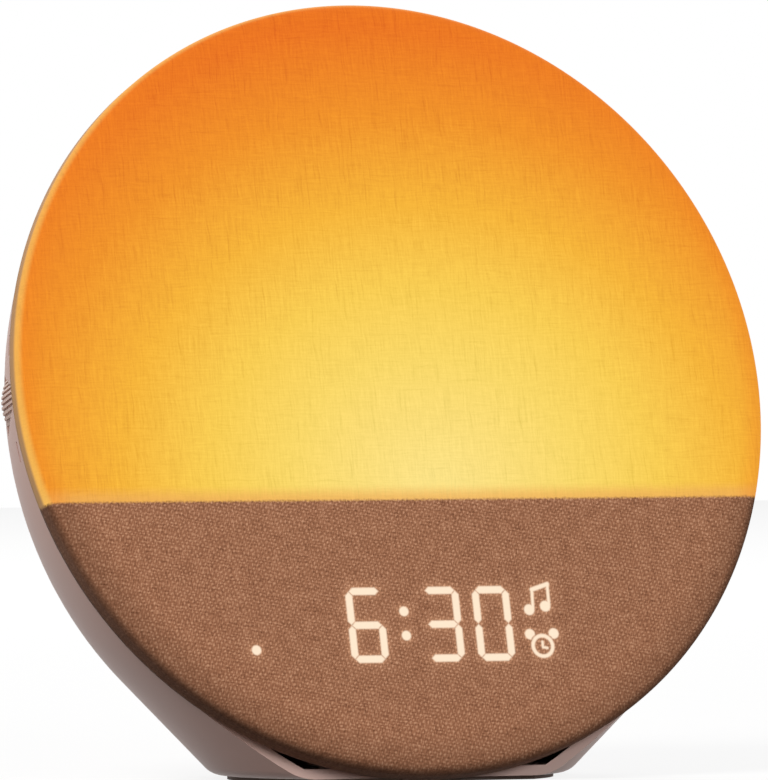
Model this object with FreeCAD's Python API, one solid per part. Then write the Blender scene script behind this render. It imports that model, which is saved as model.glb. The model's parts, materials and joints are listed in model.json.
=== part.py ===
import FreeCAD, Part
import math
import os

V = FreeCAD.Vector

# Driving dimensions, millimetres and degrees.
# The origin lies on the table, straight below the widest section of the housing.
# The face looks towards -Y and leans back, so its top lies towards +Y.

# Face and housing form
face_r = 95.0
face_lean = 16.0
face_above_table = 2.2
housing_half_width = 94.4
housing_half_depth = 70.0
rim_setback = 2.8
shell_wall = 2.4
base_height = 1.0
skirt_slope = 0.99
base_corner_r = 6.0

# Fabric cover, frame and trim ring
fabric_t = 0.8
fabric_edge_r = 2.6
frame_depth = 6.5
frame_bore_r = 84.0
frame_rebate_r = 91.6
trim_t = 0.6
trim_r = 94.75
trim_bore_r = 91.9
soft_gap = 0.05
frame_screw_angles = (25, 62, 118, 155, 225, 315)
frame_screw_circle = 88.0
screw_sink = 0.2
boss_block = (20.0, 14.0)
boss_tip_gap = 0.3

# Light chamber
divider_q = -27.9
divider_t = 1.6
sheet_t = 2.0
tray_back_d = 24.0
tray_back_r = 66.0
tray_wall = 1.6
tray_gap = 0.1
notch_wall = 2.2
notch_clear_d = 0.8
ribbon_slot_h = 3.0
light_board = (112.0, 22.0, 1.6)
light_board_q = -14.0
light_led = 5.0
light_led_t = 1.6
light_led_columns = 11
light_led_rows = 2
light_led_pitch_x = 9.6
light_led_pitch_q = 10.0
light_led_dish_r = 1.8
light_led_dish_d = 0.3

# Display
digit_w = 7.7
digit_h = 16.4
digit_stroke = 1.5
digit_centre_q = -58.7
digit_lefts = (-31.0, -17.8, 1.6, 14.4)
colon_p = -4.2
colon_half = 2.95
colon_r = 1.15
segment_joint = 0.45
note_centre = (30.5, -53.0)
alarm_centre = (30.4, -64.0)
icon_r = 2.9
meridiem_centre = (-42.5, -64.4)
meridiem_size = (10.6, 6.8)
light_box = (92.0, 24.0, 9.0)
light_box_centre = (-4.0, -58.7)
display_board = (100.0, 30.0, 1.6)
window_gap = 0.1
light_box_gap = 0.25
lens_setback = 0.2
meridiem_space = 2.4
display_led = (3.0, 1.3, 1.0)

# Thumbwheels, one each side, with axles square to the face
dial_r = 12.0
dial_w = 7.5
dial_front_d = 10.6
dial_axis_x = 81.6
dial_rib_count = 56
dial_rib_depth = 0.5
dial_rib_w = 0.7
dial_pocket_gap = 0.8
dial_pocket_front = 2.6
axle_r = 3.0
axle_gap = 0.05
axle_reach = 5.0
encoder = (10.0, 12.0, 6.0)
encoder_shift = 1.0
encoder_gap = 0.6
dial_board = (20.0, 24.0, 1.6)
dial_board_shift = 8.0
dial_board_screw_edge = 2.4
dial_board_post_r = 2.6
dial_rim_r = 0.6
dial_hub_d = 2.0
axle_end_gap = 0.3
axle_room = 3.0
mark_len = 5.0
mark_w = 0.7
mark_depth = 0.5
mark_offset_q = 10.5
mark_shift_d = 0.4
mark_reach = 6.0

# Button on the crown
button_y = 40.0
button_len = 56.0
button_w = 15.0
button_proud = 1.4
button_wall = 1.6
button_depth = 9.5
button_gap = 0.4
button_travel = 1.0
button_floor_gap = 0.5
button_floor_t = 1.4
button_post_r = 2.6
button_post_end = 3.6
switch_body = (6.2, 6.2, 3.4)
plunger_r = 1.7
plunger_len = 2.2
plunger_held = 0.9
button_board = (40.0, 10.0, 1.6)
well_wall = 1.6
button_reach = 20.0
button_screw_edge = 4.0

# Base
foot_t = 2.0
foot_inset = 3.6
foot_gap = 0.1
foot_front_ease = 0.6
foot_screw_gap = 0.3
base_hatch = (46.0, 30.0)
base_hatch_gap = 0.2
hatch_ledge = 8.0
hatch_ledge_t = 2.0
hatch_sink = 0.5
hatch_screw_spacing = (36.0, 20.0)

# Boards, speaker and inlet
main_board = (84.0, 44.0, 1.6)
main_board_y = 42.0
main_board_z = 105.5
# Each chip: place across, place up, width, height, thickness
board_chips = ((-4.0, 4.0, 10.0, 10.0, 1.2), (14.0, 6.0, 7.0, 7.0, 1.0), (26.0, -4.0, 6.0, 5.0, 1.5))
radio = (-26.0, 6.0, 16.0, 20.0, 2.4)
can_places = (20.0, 28.0)
can_z = 14.0
can_r = 3.0
can_h = 9.0
speaker_r = 22.5
speaker_z = 53.5
speaker_front_y = 46.0
speaker_basket_depth = 9.0
speaker_magnet_r = 13.0
speaker_magnet_t = 8.0
speaker_flange_r = 26.0
speaker_flange_t = 2.0
speaker_bore_r = 19.5
gasket_t = 1.5
grille_hole_r = 0.9
grille_pitch = 4.0
grille_field_r = 18.0
grille_clear = 0.5
basket_wall = 1.2
basket_foot = 2.0
basket_vent_r = 6.0
cone_neck_r = 6.5
cone_t = 0.5
cone_rim_gap = 0.4
cap_ball_r = 7.5
cap_sink = 2.6
cap_r = 6.8
magnet_chamfer = 0.8
inlet_z = 15.0
inlet_size = (9.0, 11.0, 10.0)
inlet_bore_r = 3.1
inlet_bore_depth = 9.0
inlet_pin_r = 1.0
inlet_pocket = (16.0, 14.0)
inlet_floor_y = 37.0
pocket_wall = 1.6
inlet_nose_wall = 1.0
inlet_pin_gap = 0.8

# Leads and the connectors they end in
connector = (10.0, 5.0, 4.0)
connector_z = -12.0
connector_places = (-24.0, -6.0, 8.0, 22.0)
ribbon_w = 12.0
light_ribbon_x = -6.0
light_ribbon_w = 8.0
ribbon_t = 0.6
display_ribbon_w = 10.0
display_ribbon_rise = 8.0
display_ribbon_turn = (20.0, 73.5)
light_ribbon_drop = 4.0
speaker_lead_turn = (4.0, 5.0)
power_lead_rise = 3.0
power_lead_turns = ((24.0, 41.5), (36.0, 81.5))
lead_r = 0.7
lead_pitch = 2.0

# Fasteners
screw_r = 1.25
screw_head_r = 2.4
screw_head_h = 1.6
screw_len = 9.0
boss_r = 3.4
screw_gap = 0.1
small_screw_r = 0.9
small_screw_len = 2.5
small_head_r = 1.8
small_head_h = 0.8
small_post_wall = 0.4
dial_screw_len = 7.0
screw_bore = 12.0
slot_w = 0.5
slot_sink = 0.6
board_screw_edge = 4.0

# Blocks and cutters that only have to reach past the clock
far = 200.0
deep = 60.0
past = 1.0

# Derived values
lean = math.radians(face_lean)
sin_t = math.sin(lean)
cos_t = math.cos(lean)
width2 = housing_half_width ** 2
depth2 = housing_half_depth ** 2
# The height that makes the leaning cut through the housing a true circle.
housing_half_height = cos_t / math.sqrt(1 / width2 - sin_t ** 2 / depth2)
height2 = housing_half_height ** 2
rim_drop = rim_setback * math.tan(lean) * height2 / depth2
face_y = rim_setback - frame_depth * cos_t
face_z = face_above_table + face_r * cos_t
housing_z = face_z - frame_depth * sin_t + rim_drop
frame_r = face_r - fabric_t - soft_gap
sheet_d = fabric_t + soft_gap
chamber_d = sheet_d + sheet_t
shell_front_d = frame_depth + trim_t
sheet_r = frame_rebate_r - tray_gap
frame_screw_r = frame_screw_circle - boss_r / 2
screw_seat_d = chamber_d + screw_head_h + screw_sink
dial_clear_r = dial_r + dial_pocket_gap
notch_in = dial_axis_x - dial_clear_r - notch_wall
notch_half = dial_clear_r + notch_wall
dial_back_d = dial_front_d + dial_w
encoder_front_d = dial_back_d + encoder_gap
encoder_back_d = encoder_front_d + encoder[2]
switch_top = -button_post_end - plunger_len + plunger_held
button_board_top = switch_top - switch_body[2]
well_floor = -button_depth - button_travel - button_floor_gap

os.makedirs("parts", exist_ok=True)


def save(node, shape):
    """Write one node, and say so if a solid in it is not sound."""
    if not shape.isValid():
        print("not valid:", node)
    print("%-22s %3d solids %10.1f mm3" % (node, len(shape.Solids), shape.Volume))
    shape.exportStep("parts/%s.step" % node)


def face_placement():
    """Local x, q and depth axes: q runs up the face, local -Z runs back from it."""
    return FreeCAD.Placement(V(0, face_y, face_z), FreeCAD.Rotation(V(1, 0, 0), 90 - face_lean))


def on_face(shape):
    """Move a shape made at the origin, facing +Z, to the face of the clock."""
    moved = shape.copy()
    moved.Placement = face_placement().multiply(moved.Placement)
    return moved


def disc(r, d_front, d_back, p=0.0, q=0.0):
    """A round plate in face coordinates between two depths."""
    return Part.makeCylinder(r, d_back - d_front, V(p, q, -d_back))


def block(p0, p1, q0, q1, d_front, d_back):
    """A box in face coordinates between two depths."""
    return Part.makeBox(p1 - p0, q1 - q0, d_back - d_front, V(p0, q0, -d_back))


def centred_block(p, q, w, h, d_front, d_back):
    """A box in face coordinates about a centre."""
    return block(p - w / 2, p + w / 2, q - h / 2, q + h / 2, d_front, d_back)


def group(shapes):
    """Several separate solids in one node."""
    solids = [solid for shape in shapes for solid in shape.Solids]
    return Part.makeCompound(solids)


def one(shape):
    """The same shape with its faces merged, as a plain solid where there is one."""
    clean = shape.removeSplitter()
    return clean.Solids[0] if len(clean.Solids) == 1 else clean


def flat_edges(shape, z):
    """The edges of a shape that lie flat at a height z."""
    return [e for e in shape.Edges if abs(e.BoundBox.ZMin - z) < 1e-6 and abs(e.BoundBox.ZMax - z) < 1e-6]


def housing_form(inset, base_z):
    """The rounded body: an oval turned about Z, its lower part a straight skirt.

    inset moves the whole surface inwards, base_z is the height of its flat underside.
    """
    half_w = housing_half_width - inset
    half_h = housing_half_height - inset
    ratio = skirt_slope * half_h / half_w
    drop = half_h * ratio / math.sqrt(1 + ratio ** 2)
    skirt_z = housing_z - drop
    skirt_w = half_w * math.sqrt(1 - (drop / half_h) ** 2)
    base_w = skirt_w - skirt_slope * (skirt_z - base_z)
    oval = Part.Ellipse(V(0, 0, housing_z + half_h), V(half_w, 0, housing_z), V(0, 0, housing_z))
    start = oval.parameter(V(skirt_w, 0, skirt_z))
    end = oval.parameter(V(0, 0, housing_z + half_h))
    low, high = sorted((start, end))
    arc = Part.ArcOfEllipse(oval, low, high).toShape()
    side = Part.makeLine(V(skirt_w, 0, skirt_z), V(base_w, 0, base_z))
    floor = Part.makeLine(V(base_w, 0, base_z), V(0, 0, base_z))
    axis = Part.makeLine(V(0, 0, base_z), V(0, 0, housing_z + half_h))
    outline = Part.Wire(Part.__sortEdges__([arc, side, floor, axis]))
    body = Part.Face(outline).revolve(V(0, 0, 0), V(0, 0, 1), 360)
    if inset == 0:
        edges = [e for e in body.Edges if rim_edge(e, base_z, base_w)]
        body = body.makeFillet(base_corner_r, edges)
    squeeze = FreeCAD.Matrix()
    squeeze.A22 = (housing_half_depth - inset) / half_w
    return body.transformGeometry(squeeze)


def rim_edge(edge, z, r):
    """True for the round edge of the flat underside."""
    box = edge.BoundBox
    return abs(box.ZMin - z) < 1e-4 and abs(box.ZMax - z) < 1e-4 and box.XMax > r - 0.1


def behind_face(d):
    """Everything behind a plane parallel to the face."""
    return on_face(Part.makeBox(2 * far, 2 * far, 2 * far, V(-far, -far, -2 * far - d)))


def housing_point(y):
    """Height and outward normal of the crown of the housing at a depth y, on the centre plane."""
    z = housing_z + housing_half_height * math.sqrt(1 - y ** 2 / depth2)
    normal = V(0, y / depth2, (z - housing_z) / height2)
    normal.normalize()
    return z, normal


def screw(length=screw_len):
    """A pan-head screw along +Z, with the underside of its head at the origin."""
    head = Part.makeCylinder(screw_head_r, screw_head_h, V(0, 0, 0))
    top = flat_edges(head, screw_head_h)
    head = head.makeFillet(screw_head_h * 0.4, top)
    shank = Part.makeCylinder(screw_r, length, V(0, 0, -length))
    slot_at = V(-screw_head_r * 0.6, -slot_w / 2, screw_head_h - slot_sink)
    slot = Part.makeBox(screw_head_r * 1.2, slot_w, slot_sink + past, slot_at)
    cross = slot.copy()
    cross.rotate(V(0, 0, 0), V(0, 0, 1), 90)
    return one(head.fuse(shank).cut(slot.fuse(cross)))


def placed(shape, position, direction):
    """A shape made along +Z, moved to a place and turned to a direction."""
    moved = shape.copy()
    turn = FreeCAD.Rotation(V(0, 0, 1), direction)
    moved.Placement = FreeCAD.Placement(position, turn).multiply(moved.Placement)
    return moved


def bore(position, direction, depth, r=screw_r + screw_gap):
    """A hole for a screw, running from its head along the shank."""
    return placed(Part.makeCylinder(r, depth, V(0, 0, -depth)), position, direction)


outward = V(0, -cos_t, sin_t)


def face_point(p, q, d):
    """A point in the row frame from face coordinates."""
    return V(p, face_y + q * sin_t + d * cos_t, face_z + q * cos_t - d * sin_t)


# Fabric cover, wrapped over the face and the edge of the frame
def make_fabric_cover():
    cup = disc(face_r, 0, frame_depth)
    front = flat_edges(cup, 0)
    cup = cup.makeFillet(fabric_edge_r, front)
    hollow = disc(face_r - fabric_t, fabric_t, frame_depth + 1)
    rim = flat_edges(hollow, -fabric_t)
    hollow = hollow.makeFillet(fabric_edge_r - fabric_t, rim)
    save("fabric_cover", on_face(one(cup.cut(hollow))))


def frame_screw_places():
    """In-plane centres of the screws that hold the frame to the housing."""
    return [(frame_screw_r * math.cos(math.radians(a)), frame_screw_r * math.sin(math.radians(a)))
            for a in frame_screw_angles]


def make_front_frame():
    ring = disc(frame_r, sheet_d, frame_depth)
    front = flat_edges(ring, -sheet_d)
    ring = ring.makeFillet(fabric_edge_r - fabric_t, front)
    ring = ring.cut(disc(frame_rebate_r, 0, chamber_d))
    ring = ring.cut(disc(frame_bore_r, 0, frame_depth + 1))
    for p, q in frame_screw_places():
        ring = ring.cut(disc(screw_head_r + screw_gap, 0, screw_seat_d, p, q))
        ring = ring.cut(disc(screw_r + screw_gap, 0, frame_depth + 1, p, q))
    save("front_frame", on_face(one(ring)))
    screws = []
    for p, q in frame_screw_places():
        item = screw()
        item.translate(V(p, q, -screw_seat_d))
        screws.append(item)
    save("frame_screws", on_face(group(screws)))


def make_trim_ring():
    ring = disc(trim_r, frame_depth, shell_front_d).cut(disc(trim_bore_r, 0, shell_front_d + 1))
    save("trim_ring", on_face(ring))


# Light chamber
def upper_half(gap=0.0):
    return block(-face_r, face_r, divider_q + gap, face_r, -past, deep)


def make_sheets():
    sheet = disc(sheet_r, sheet_d, chamber_d)
    save("diffuser_panel", on_face(sheet.common(upper_half(window_gap / 2))))
    lower = block(-face_r, face_r, -face_r, divider_q - window_gap / 2, -past, deep)
    mask = sheet.common(lower)
    for window in display_windows(window_gap, sheet_d - past, chamber_d + past):
        mask = mask.cut(window)
    save("display_mask", on_face(mask))


def tray_form(inset, d_back):
    """The tapered light chamber, with a bay each side that leaves room for the thumbwheels."""
    taper = (frame_bore_r - tray_gap - tray_back_r) / (tray_back_d - chamber_d)
    front_r = frame_bore_r - tray_gap - inset
    back_r = front_r - taper * (d_back - chamber_d)
    form = Part.makeCone(back_r, front_r, d_back - chamber_d, V(0, 0, -d_back))
    for side in (-1, 1):
        near = notch_in - inset
        p0, p1 = sorted((side * near, side * far))
        front = frame_depth + notch_clear_d - inset
        form = form.cut(block(p0, p1, -notch_half - inset, notch_half + inset, front, d_back + past))
    return form.common(upper_half(inset if inset else soft_gap))


def make_reflector_tray():
    outer = tray_form(0.0, tray_back_d)
    inner = tray_form(tray_wall, tray_back_d - tray_wall)
    tray = outer.cut(inner)
    for p, q in frame_screw_places():
        tray = tray.cut(disc(screw_head_r + notch_clear_d - screw_sink, 0, tray_back_d, p, q))
    slot = centred_block(light_ribbon_x, light_board_q, ribbon_w, ribbon_slot_h,
                         tray_back_d - tray_wall, tray_back_d + past)
    save("reflector_tray", on_face(one(tray.cut(slot))))


def make_light_divider():
    half = math.sqrt(frame_bore_r ** 2 - (divider_q - divider_t) ** 2) - tray_gap - 0.2
    plate = block(-half, half, divider_q - divider_t, divider_q, chamber_d, tray_back_d)
    save("light_divider", on_face(plate))


def make_light_board():
    w, h, t = light_board
    back = tray_back_d - tray_wall
    board = centred_block(0, light_board_q, w, h, back - t, back)
    save("light_board", on_face(board))
    leds = []
    for row in range(light_led_rows):
        for column in range(light_led_columns):
            p = (column - (light_led_columns - 1) / 2) * light_led_pitch_x
            q = light_board_q + (row - (light_led_rows - 1) / 2) * light_led_pitch_q
            body = centred_block(p, q, light_led, light_led, back - t - light_led_t, back - t)
            top = back - t - light_led_t
            leds.append(body.cut(disc(light_led_dish_r, top - past, top + light_led_dish_d, p, q)))
    save("light_leds", on_face(group(leds)))


# Display
def bar(p0, q0, p1, q1, width, d_front, d_back):
    """A straight stroke with round ends in face coordinates."""
    length = math.hypot(p1 - p0, q1 - q0)
    turn = math.degrees(math.atan2(q1 - q0, p1 - p0))
    depth = d_back - d_front
    body = Part.makeBox(length, width, depth, V(0, -width / 2, 0))
    for x in (0, length):
        body = body.fuse(Part.makeCylinder(width / 2, depth, V(x, 0, 0)))
    body = one(body)
    body.Placement = FreeCAD.Placement(V(p0, q0, -d_back), FreeCAD.Rotation(V(0, 0, 1), turn))
    return body


def digit_strokes(left):
    """End points of the seven strokes of one digit, centre line to centre line."""
    x0 = left + digit_stroke / 2
    x1 = left + digit_w - digit_stroke / 2
    top = digit_centre_q + digit_h / 2 - digit_stroke / 2
    mid = digit_centre_q
    low = digit_centre_q - digit_h / 2 + digit_stroke / 2
    cut = digit_stroke / 2 + segment_joint
    rows = [(x0 + cut, q, x1 - cut, q) for q in (top, mid, low)]
    columns = []
    for x in (x0, x1):
        columns.append((x, top - cut, x, mid + cut))
        columns.append((x, mid - cut, x, low + cut))
    return rows + columns


def display_windows(grow, d_front, d_back):
    """Every light window of the display, grown all round by a gap."""
    solids = []
    for left in digit_lefts:
        for p0, q0, p1, q1 in digit_strokes(left):
            solids.append(bar(p0, q0, p1, q1, digit_stroke + 2 * grow - segment_joint, d_front, d_back))
    for side in (-1, 1):
        solids.append(disc(colon_r + grow, d_front, d_back, colon_p, digit_centre_q + side * colon_half))
    for p, q in (note_centre, alarm_centre):
        solids.append(disc(icon_r + grow, d_front, d_back, p, q))
    w, h = meridiem_size
    for side in (-1, 1):
        solids.append(centred_block(meridiem_centre[0] + side * w / 4, meridiem_centre[1],
                                    (w - meridiem_space) / 2 + 2 * grow, h + 2 * grow, d_front, d_back))
    return solids


def make_display():
    lenses = display_windows(0.0, sheet_d + lens_setback, chamber_d)
    count = 7 * len(digit_lefts) + 2
    save("digit_lenses", on_face(group(lenses[:count])))
    save("symbol_lenses", on_face(group(lenses[count:])))
    p, q = light_box_centre
    w, h, depth = light_box
    inside = disc(frame_bore_r - tray_gap, 0, deep)
    box = centred_block(p, q, w, h, chamber_d, chamber_d + depth).common(inside)
    for window in display_windows(light_box_gap, chamber_d - past, chamber_d + depth + past):
        box = box.cut(window)
    save("display_light_box", on_face(box))
    bw, bh, bt = display_board
    front = chamber_d + depth
    board = centred_block(p, q, bw, bh, front, front + bt).common(inside)
    save("display_board", on_face(board))
    chips = []
    lw, lh, lt = display_led
    for left in digit_lefts:
        for p0, q0, p1, q1 in digit_strokes(left):
            tall = abs(q1 - q0) > abs(p1 - p0)
            w, h = (lh, lw) if tall else (lw, lh)
            chips.append(centred_block((p0 + p1) / 2, (q0 + q1) / 2, w, h, front - lt, front))
    for side in (-1, 1):
        chips.append(centred_block(colon_p, digit_centre_q + side * colon_half, lh, lh, front - lt, front))
    for p, q in (note_centre, alarm_centre):
        chips.append(centred_block(p, q, lw, lw, front - lt, front))
    for side in (-1, 1):
        chips.append(centred_block(meridiem_centre[0] + side * meridiem_size[0] / 4, meridiem_centre[1],
                                   lw, lw, front - lt, front))
    save("display_leds", on_face(group(chips)))


# Thumbwheels
def dial_place(side):
    return side * dial_axis_x


def make_dial(side, name):
    x = dial_place(side)
    wheel = disc(dial_r, dial_front_d, dial_back_d, x)
    rims = [e for e in wheel.Edges if len(e.Vertexes) == 1 and e.Length > dial_r]
    wheel = wheel.makeFillet(dial_rim_r, rims)
    grooves = []
    for i in range(dial_rib_count):
        groove = Part.makeBox(dial_rib_w, 2 * dial_rib_depth, dial_w + 2 * past,
                              V(-dial_rib_w / 2, dial_r - dial_rib_depth, -dial_back_d - past))
        groove.rotate(V(0, 0, 0), V(0, 0, 1), 360.0 * i / dial_rib_count)
        groove.translate(V(x, 0, 0))
        grooves.append(groove)
    wheel = wheel.cut(Part.makeCompound(grooves))
    wheel = wheel.cut(disc(axle_r, dial_front_d + dial_hub_d, dial_back_d + past, x))
    save(name + "_dial", on_face(one(wheel)))
    axle = disc(axle_r, dial_front_d + dial_hub_d, encoder_front_d + axle_reach, x)
    save(name + "_dial_axle", on_face(axle))
    w, h, t = encoder
    body = centred_block(x - side * encoder_shift, 0, w, h, encoder_front_d, encoder_back_d)
    axle_end = encoder_front_d + axle_reach + axle_end_gap
    body = body.cut(disc(axle_r + axle_gap, encoder_front_d - past, axle_end, x))
    save(name + "_encoder", on_face(body))
    bw, bh, bt = dial_board
    board = centred_block(x - side * dial_board_shift, 0, bw, bh, encoder_back_d, encoder_back_d + bt)
    for p, q in dial_board_screws(side):
        board = board.cut(disc(screw_r + screw_gap, encoder_back_d - past, encoder_back_d + bt + past, p, q))
    save(name + "_dial_board", on_face(board))


def dial_board_screws(side):
    """In-plane centres of the two screws of one thumbwheel board."""
    x = dial_place(side) - side * dial_board_shift
    return [(x, q * (dial_board[1] / 2 - dial_board_screw_edge)) for q in (-1, 1)]


def dial_pocket(side, grow):
    """The slot in the housing that lets the thumbwheel out, and a bay in front of it."""
    x = dial_place(side)
    wheel_room = disc(dial_r + dial_pocket_gap + grow, dial_front_d - dial_pocket_front - grow,
                      dial_back_d + dial_pocket_gap + grow, x)
    outer = block(*sorted((x + side * board_screw_edge, x + side * deep)), -deep, deep, 0, deep)
    return wheel_room.common(outer)


def inboard_block(side):
    """The space from a thumbwheel's axle inwards."""
    p0, p1 = sorted((side * dial_axis_x / 3, side * (dial_axis_x + axle_r)))
    return block(p0, p1, -deep, deep, 0, deep)


def dial_marks(side):
    """Short engraved strokes above and below a thumbwheel."""
    x = side * housing_half_width
    d = dial_front_d - mark_shift_d
    marks = []
    for direction in (-1, 1):
        q = direction * mark_offset_q
        q0, q1 = sorted((q, q + direction * mark_len))
        marks.append(block(x - mark_reach, x + mark_reach, q0, q1, d, d + mark_w))
    return marks


# Housing
def shell_bosses():
    """Blocks at the rim that take the frame screws."""
    blocks = []
    reach, height = boss_block
    ring = disc(trim_bore_r - boss_tip_gap, 0, shell_front_d)
    for angle in frame_screw_angles:
        corner = V(frame_screw_r - boss_r, -boss_r, -frame_depth - height)
        piece = Part.makeBox(reach, 2 * boss_r, height, corner)
        piece.rotate(V(0, 0, 0), V(0, 0, 1), angle)
        tip = piece.common(ring)
        blocks.append(tip.fuse(piece.common(disc(far, shell_front_d, deep))))
    return blocks


def board_bosses():
    """Posts from the back wall that carry the main board."""
    posts = []
    for p, q in board_screw_places():
        posts.append(Part.makeCylinder(boss_r, deep, V(p, main_board_y + main_board[2], q), V(0, 1, 0)))
    return posts


def board_screw_places():
    w, h, t = main_board
    x = w / 2 - board_screw_edge
    z = h / 2 - board_screw_edge
    return [(sx * x, main_board_z + sz * z) for sx in (-1, 1) for sz in (-1, 1)]


def dial_board_posts(side):
    """Posts from the side wall behind one thumbwheel board."""
    posts = []
    for p, q in dial_board_screws(side):
        posts.append(on_face(disc(dial_board_post_r, encoder_back_d + dial_board[2], far, p, q)))
    return posts


def button_frame():
    """Placement of the crown button: its local Z is the outward normal."""
    z, normal = housing_point(button_y)
    turn = FreeCAD.Rotation(V(1, 0, 0), -math.degrees(math.atan2(normal.y, normal.z)))
    return FreeCAD.Placement(V(0, button_y, z), turn)


def at_button(shape):
    moved = shape.copy()
    moved.Placement = button_frame().multiply(moved.Placement)
    return moved


def oblong(length, width, low, high):
    """A plate with round ends along X."""
    straight = length - width
    plate = Part.makeBox(straight, width, high - low, V(-straight / 2, -width / 2, low))
    for x in (-straight / 2, straight / 2):
        plate = plate.fuse(Part.makeCylinder(width / 2, high - low, V(x, 0, low)))
    return one(plate)


def grille_holes():
    """Sound holes in rings over the speaker, running along Y."""
    holes = [(0.0, 0.0)]
    rings = int(grille_field_r / grille_pitch)
    for ring in range(1, rings + 1):
        for i in range(6 * ring):
            angle = math.radians(60.0 * i / ring)
            holes.append((ring * grille_pitch * math.cos(angle), ring * grille_pitch * math.sin(angle)))
    y = speaker_front_y + gasket_t + grille_clear
    return [Part.makeCylinder(grille_hole_r, deep, V(x, y, speaker_z + z), V(0, 1, 0)) for x, z in holes]


def base_hatch_plate(gap, low, high):
    w, h = base_hatch
    return Part.makeBox(w + 2 * gap, h + 2 * gap, high - low, V(-w / 2 - gap, -h / 2 - gap, low))


def hatch_screw_places():
    sx, sy = hatch_screw_spacing
    return [(x * sx / 2, y * sy / 2) for x in (-1, 1) for y in (-1, 1)]


def make_housing():
    outer = housing_form(0.0, base_height)
    inner = housing_form(shell_wall, base_height + shell_wall)
    room = behind_face(shell_front_d)
    shell = outer.common(room).cut(inner)
    core = housing_form(shell_wall / 2, base_height + shell_wall / 2)
    solids = [on_face(b).common(core) for b in shell_bosses()]
    for post in board_bosses():
        solids.append(post.common(core))
    for side in (-1, 1):
        for post in dial_board_posts(side):
            solids.append(post.common(core))
        cup = on_face(dial_pocket(side, pocket_wall)).common(core).common(room)
        solids.append(cup.cut(on_face(inboard_block(side))))
    # Seat for the speaker and sleeve of the inlet pocket
    seat_at = V(0, speaker_front_y + gasket_t, speaker_z)
    seat = Part.makeCylinder(speaker_flange_r, deep, seat_at, V(0, 1, 0))
    seat = seat.cut(Part.makeCylinder(speaker_bore_r, deep, seat_at, V(0, 1, 0)))
    solids.append(seat.common(core))
    w, h = inlet_pocket
    sleeve_at = V(-w / 2 - pocket_wall, inlet_floor_y - pocket_wall, inlet_z - h / 2 - pocket_wall)
    sleeve = Part.makeBox(w + 2 * pocket_wall, deep, h + 2 * pocket_wall, sleeve_at)
    solids.append(sleeve.common(core))
    # Cup round the crown button, with two posts for its board
    around = 2 * (button_gap + well_wall)
    well = at_button(oblong(button_len + around, button_w + around, well_floor - button_floor_t, shell_wall))
    solids.append(well.common(core).common(room))
    floor_top = base_height + shell_wall
    ledge_gap = base_hatch_gap + hatch_ledge_t
    ledge = base_hatch_plate(ledge_gap, floor_top - hatch_sink, floor_top + hatch_ledge_t)
    solids.append(ledge.cut(base_hatch_plate(-hatch_ledge, 0, deep)))
    for x, y in hatch_screw_places():
        solids.append(Part.makeCylinder(boss_r, screw_len, V(x, y, floor_top)))
    shell = shell.fuse(solids)
    # Openings
    around = 2 * button_gap
    shell = shell.cut(at_button(oblong(button_len + around, button_w + around, well_floor, button_reach)))
    shell = shell.fuse([at_button(post) for post in button_posts()])
    for side in (-1, 1):
        shell = shell.cut(on_face(dial_pocket(side, 0.0)))
        room_r = encoder[0] / 2 + axle_room
        clear = disc(room_r, dial_front_d - dial_hub_d, encoder_back_d, dial_place(side))
        shell = shell.cut(on_face(clear.common(inboard_block(side))))
        for mark in dial_marks(side):
            shell = shell.cut(on_face(mark).cut(housing_form(mark_depth, base_height)))
        for p, q in dial_board_screws(side):
            shell = shell.cut(bore(face_point(p, q, encoder_back_d), outward, screw_bore, screw_r))
    for hole in grille_holes():
        shell = shell.cut(hole)
    shell = shell.cut(Part.makeBox(w, deep, h, V(-w / 2, inlet_floor_y, inlet_z - h / 2)))
    nose_r = inlet_bore_r + inlet_nose_wall + screw_gap
    nose_at = V(0, inlet_floor_y - inlet_size[1], inlet_z)
    shell = shell.cut(Part.makeCylinder(nose_r, deep, nose_at, V(0, 1, 0)))
    shell = shell.cut(base_hatch_plate(base_hatch_gap, base_height - past, base_height + shell_wall))
    shell = shell.cut(foot_form(foot_inset - foot_gap, 0, foot_t))
    for x, y in hatch_screw_places():
        shell = shell.cut(Part.makeCylinder(screw_r, screw_len + past, V(x, y, base_height)))
    for p, q in frame_screw_places():
        shell = shell.cut(bore(face_point(p, q, frame_depth - past), outward, screw_len + past, screw_r))
    for p, q in board_screw_places():
        start = V(p, main_board_y + main_board[2] - past, q)
        shell = shell.cut(Part.makeCylinder(screw_r, screw_len + past, start, V(0, 1, 0)))
    save("rear_housing", one(shell))


def foot_form(inset, low, high):
    """The flat pad under the housing: the oval underside, drawn in, and cut off behind the frame."""
    half_w = housing_half_width
    ratio = skirt_slope * housing_half_height / half_w
    drop = housing_half_height * ratio / math.sqrt(1 + ratio ** 2)
    base_w = half_w * math.sqrt(1 - (drop / housing_half_height) ** 2)
    base_w -= skirt_slope * (housing_z - drop - base_height)
    base_d = base_w * housing_half_depth / half_w
    oval = Part.Ellipse(V(base_w - inset, 0, low), V(0, base_d - inset, low), V(0, 0, low)).toShape()
    pad = Part.Face(Part.Wire([oval])).extrude(V(0, 0, high - low))
    front = rim_plane_y(base_height) + trim_t + inset * foot_front_ease
    return pad.common(Part.makeBox(2 * far, far, deep, V(-far, front, low - past)))


def rim_plane_y(z):
    """Depth of the rim plane of the housing at a height z."""
    return face_y + frame_depth * cos_t + (z - face_z + frame_depth * sin_t) * math.tan(lean)


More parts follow.
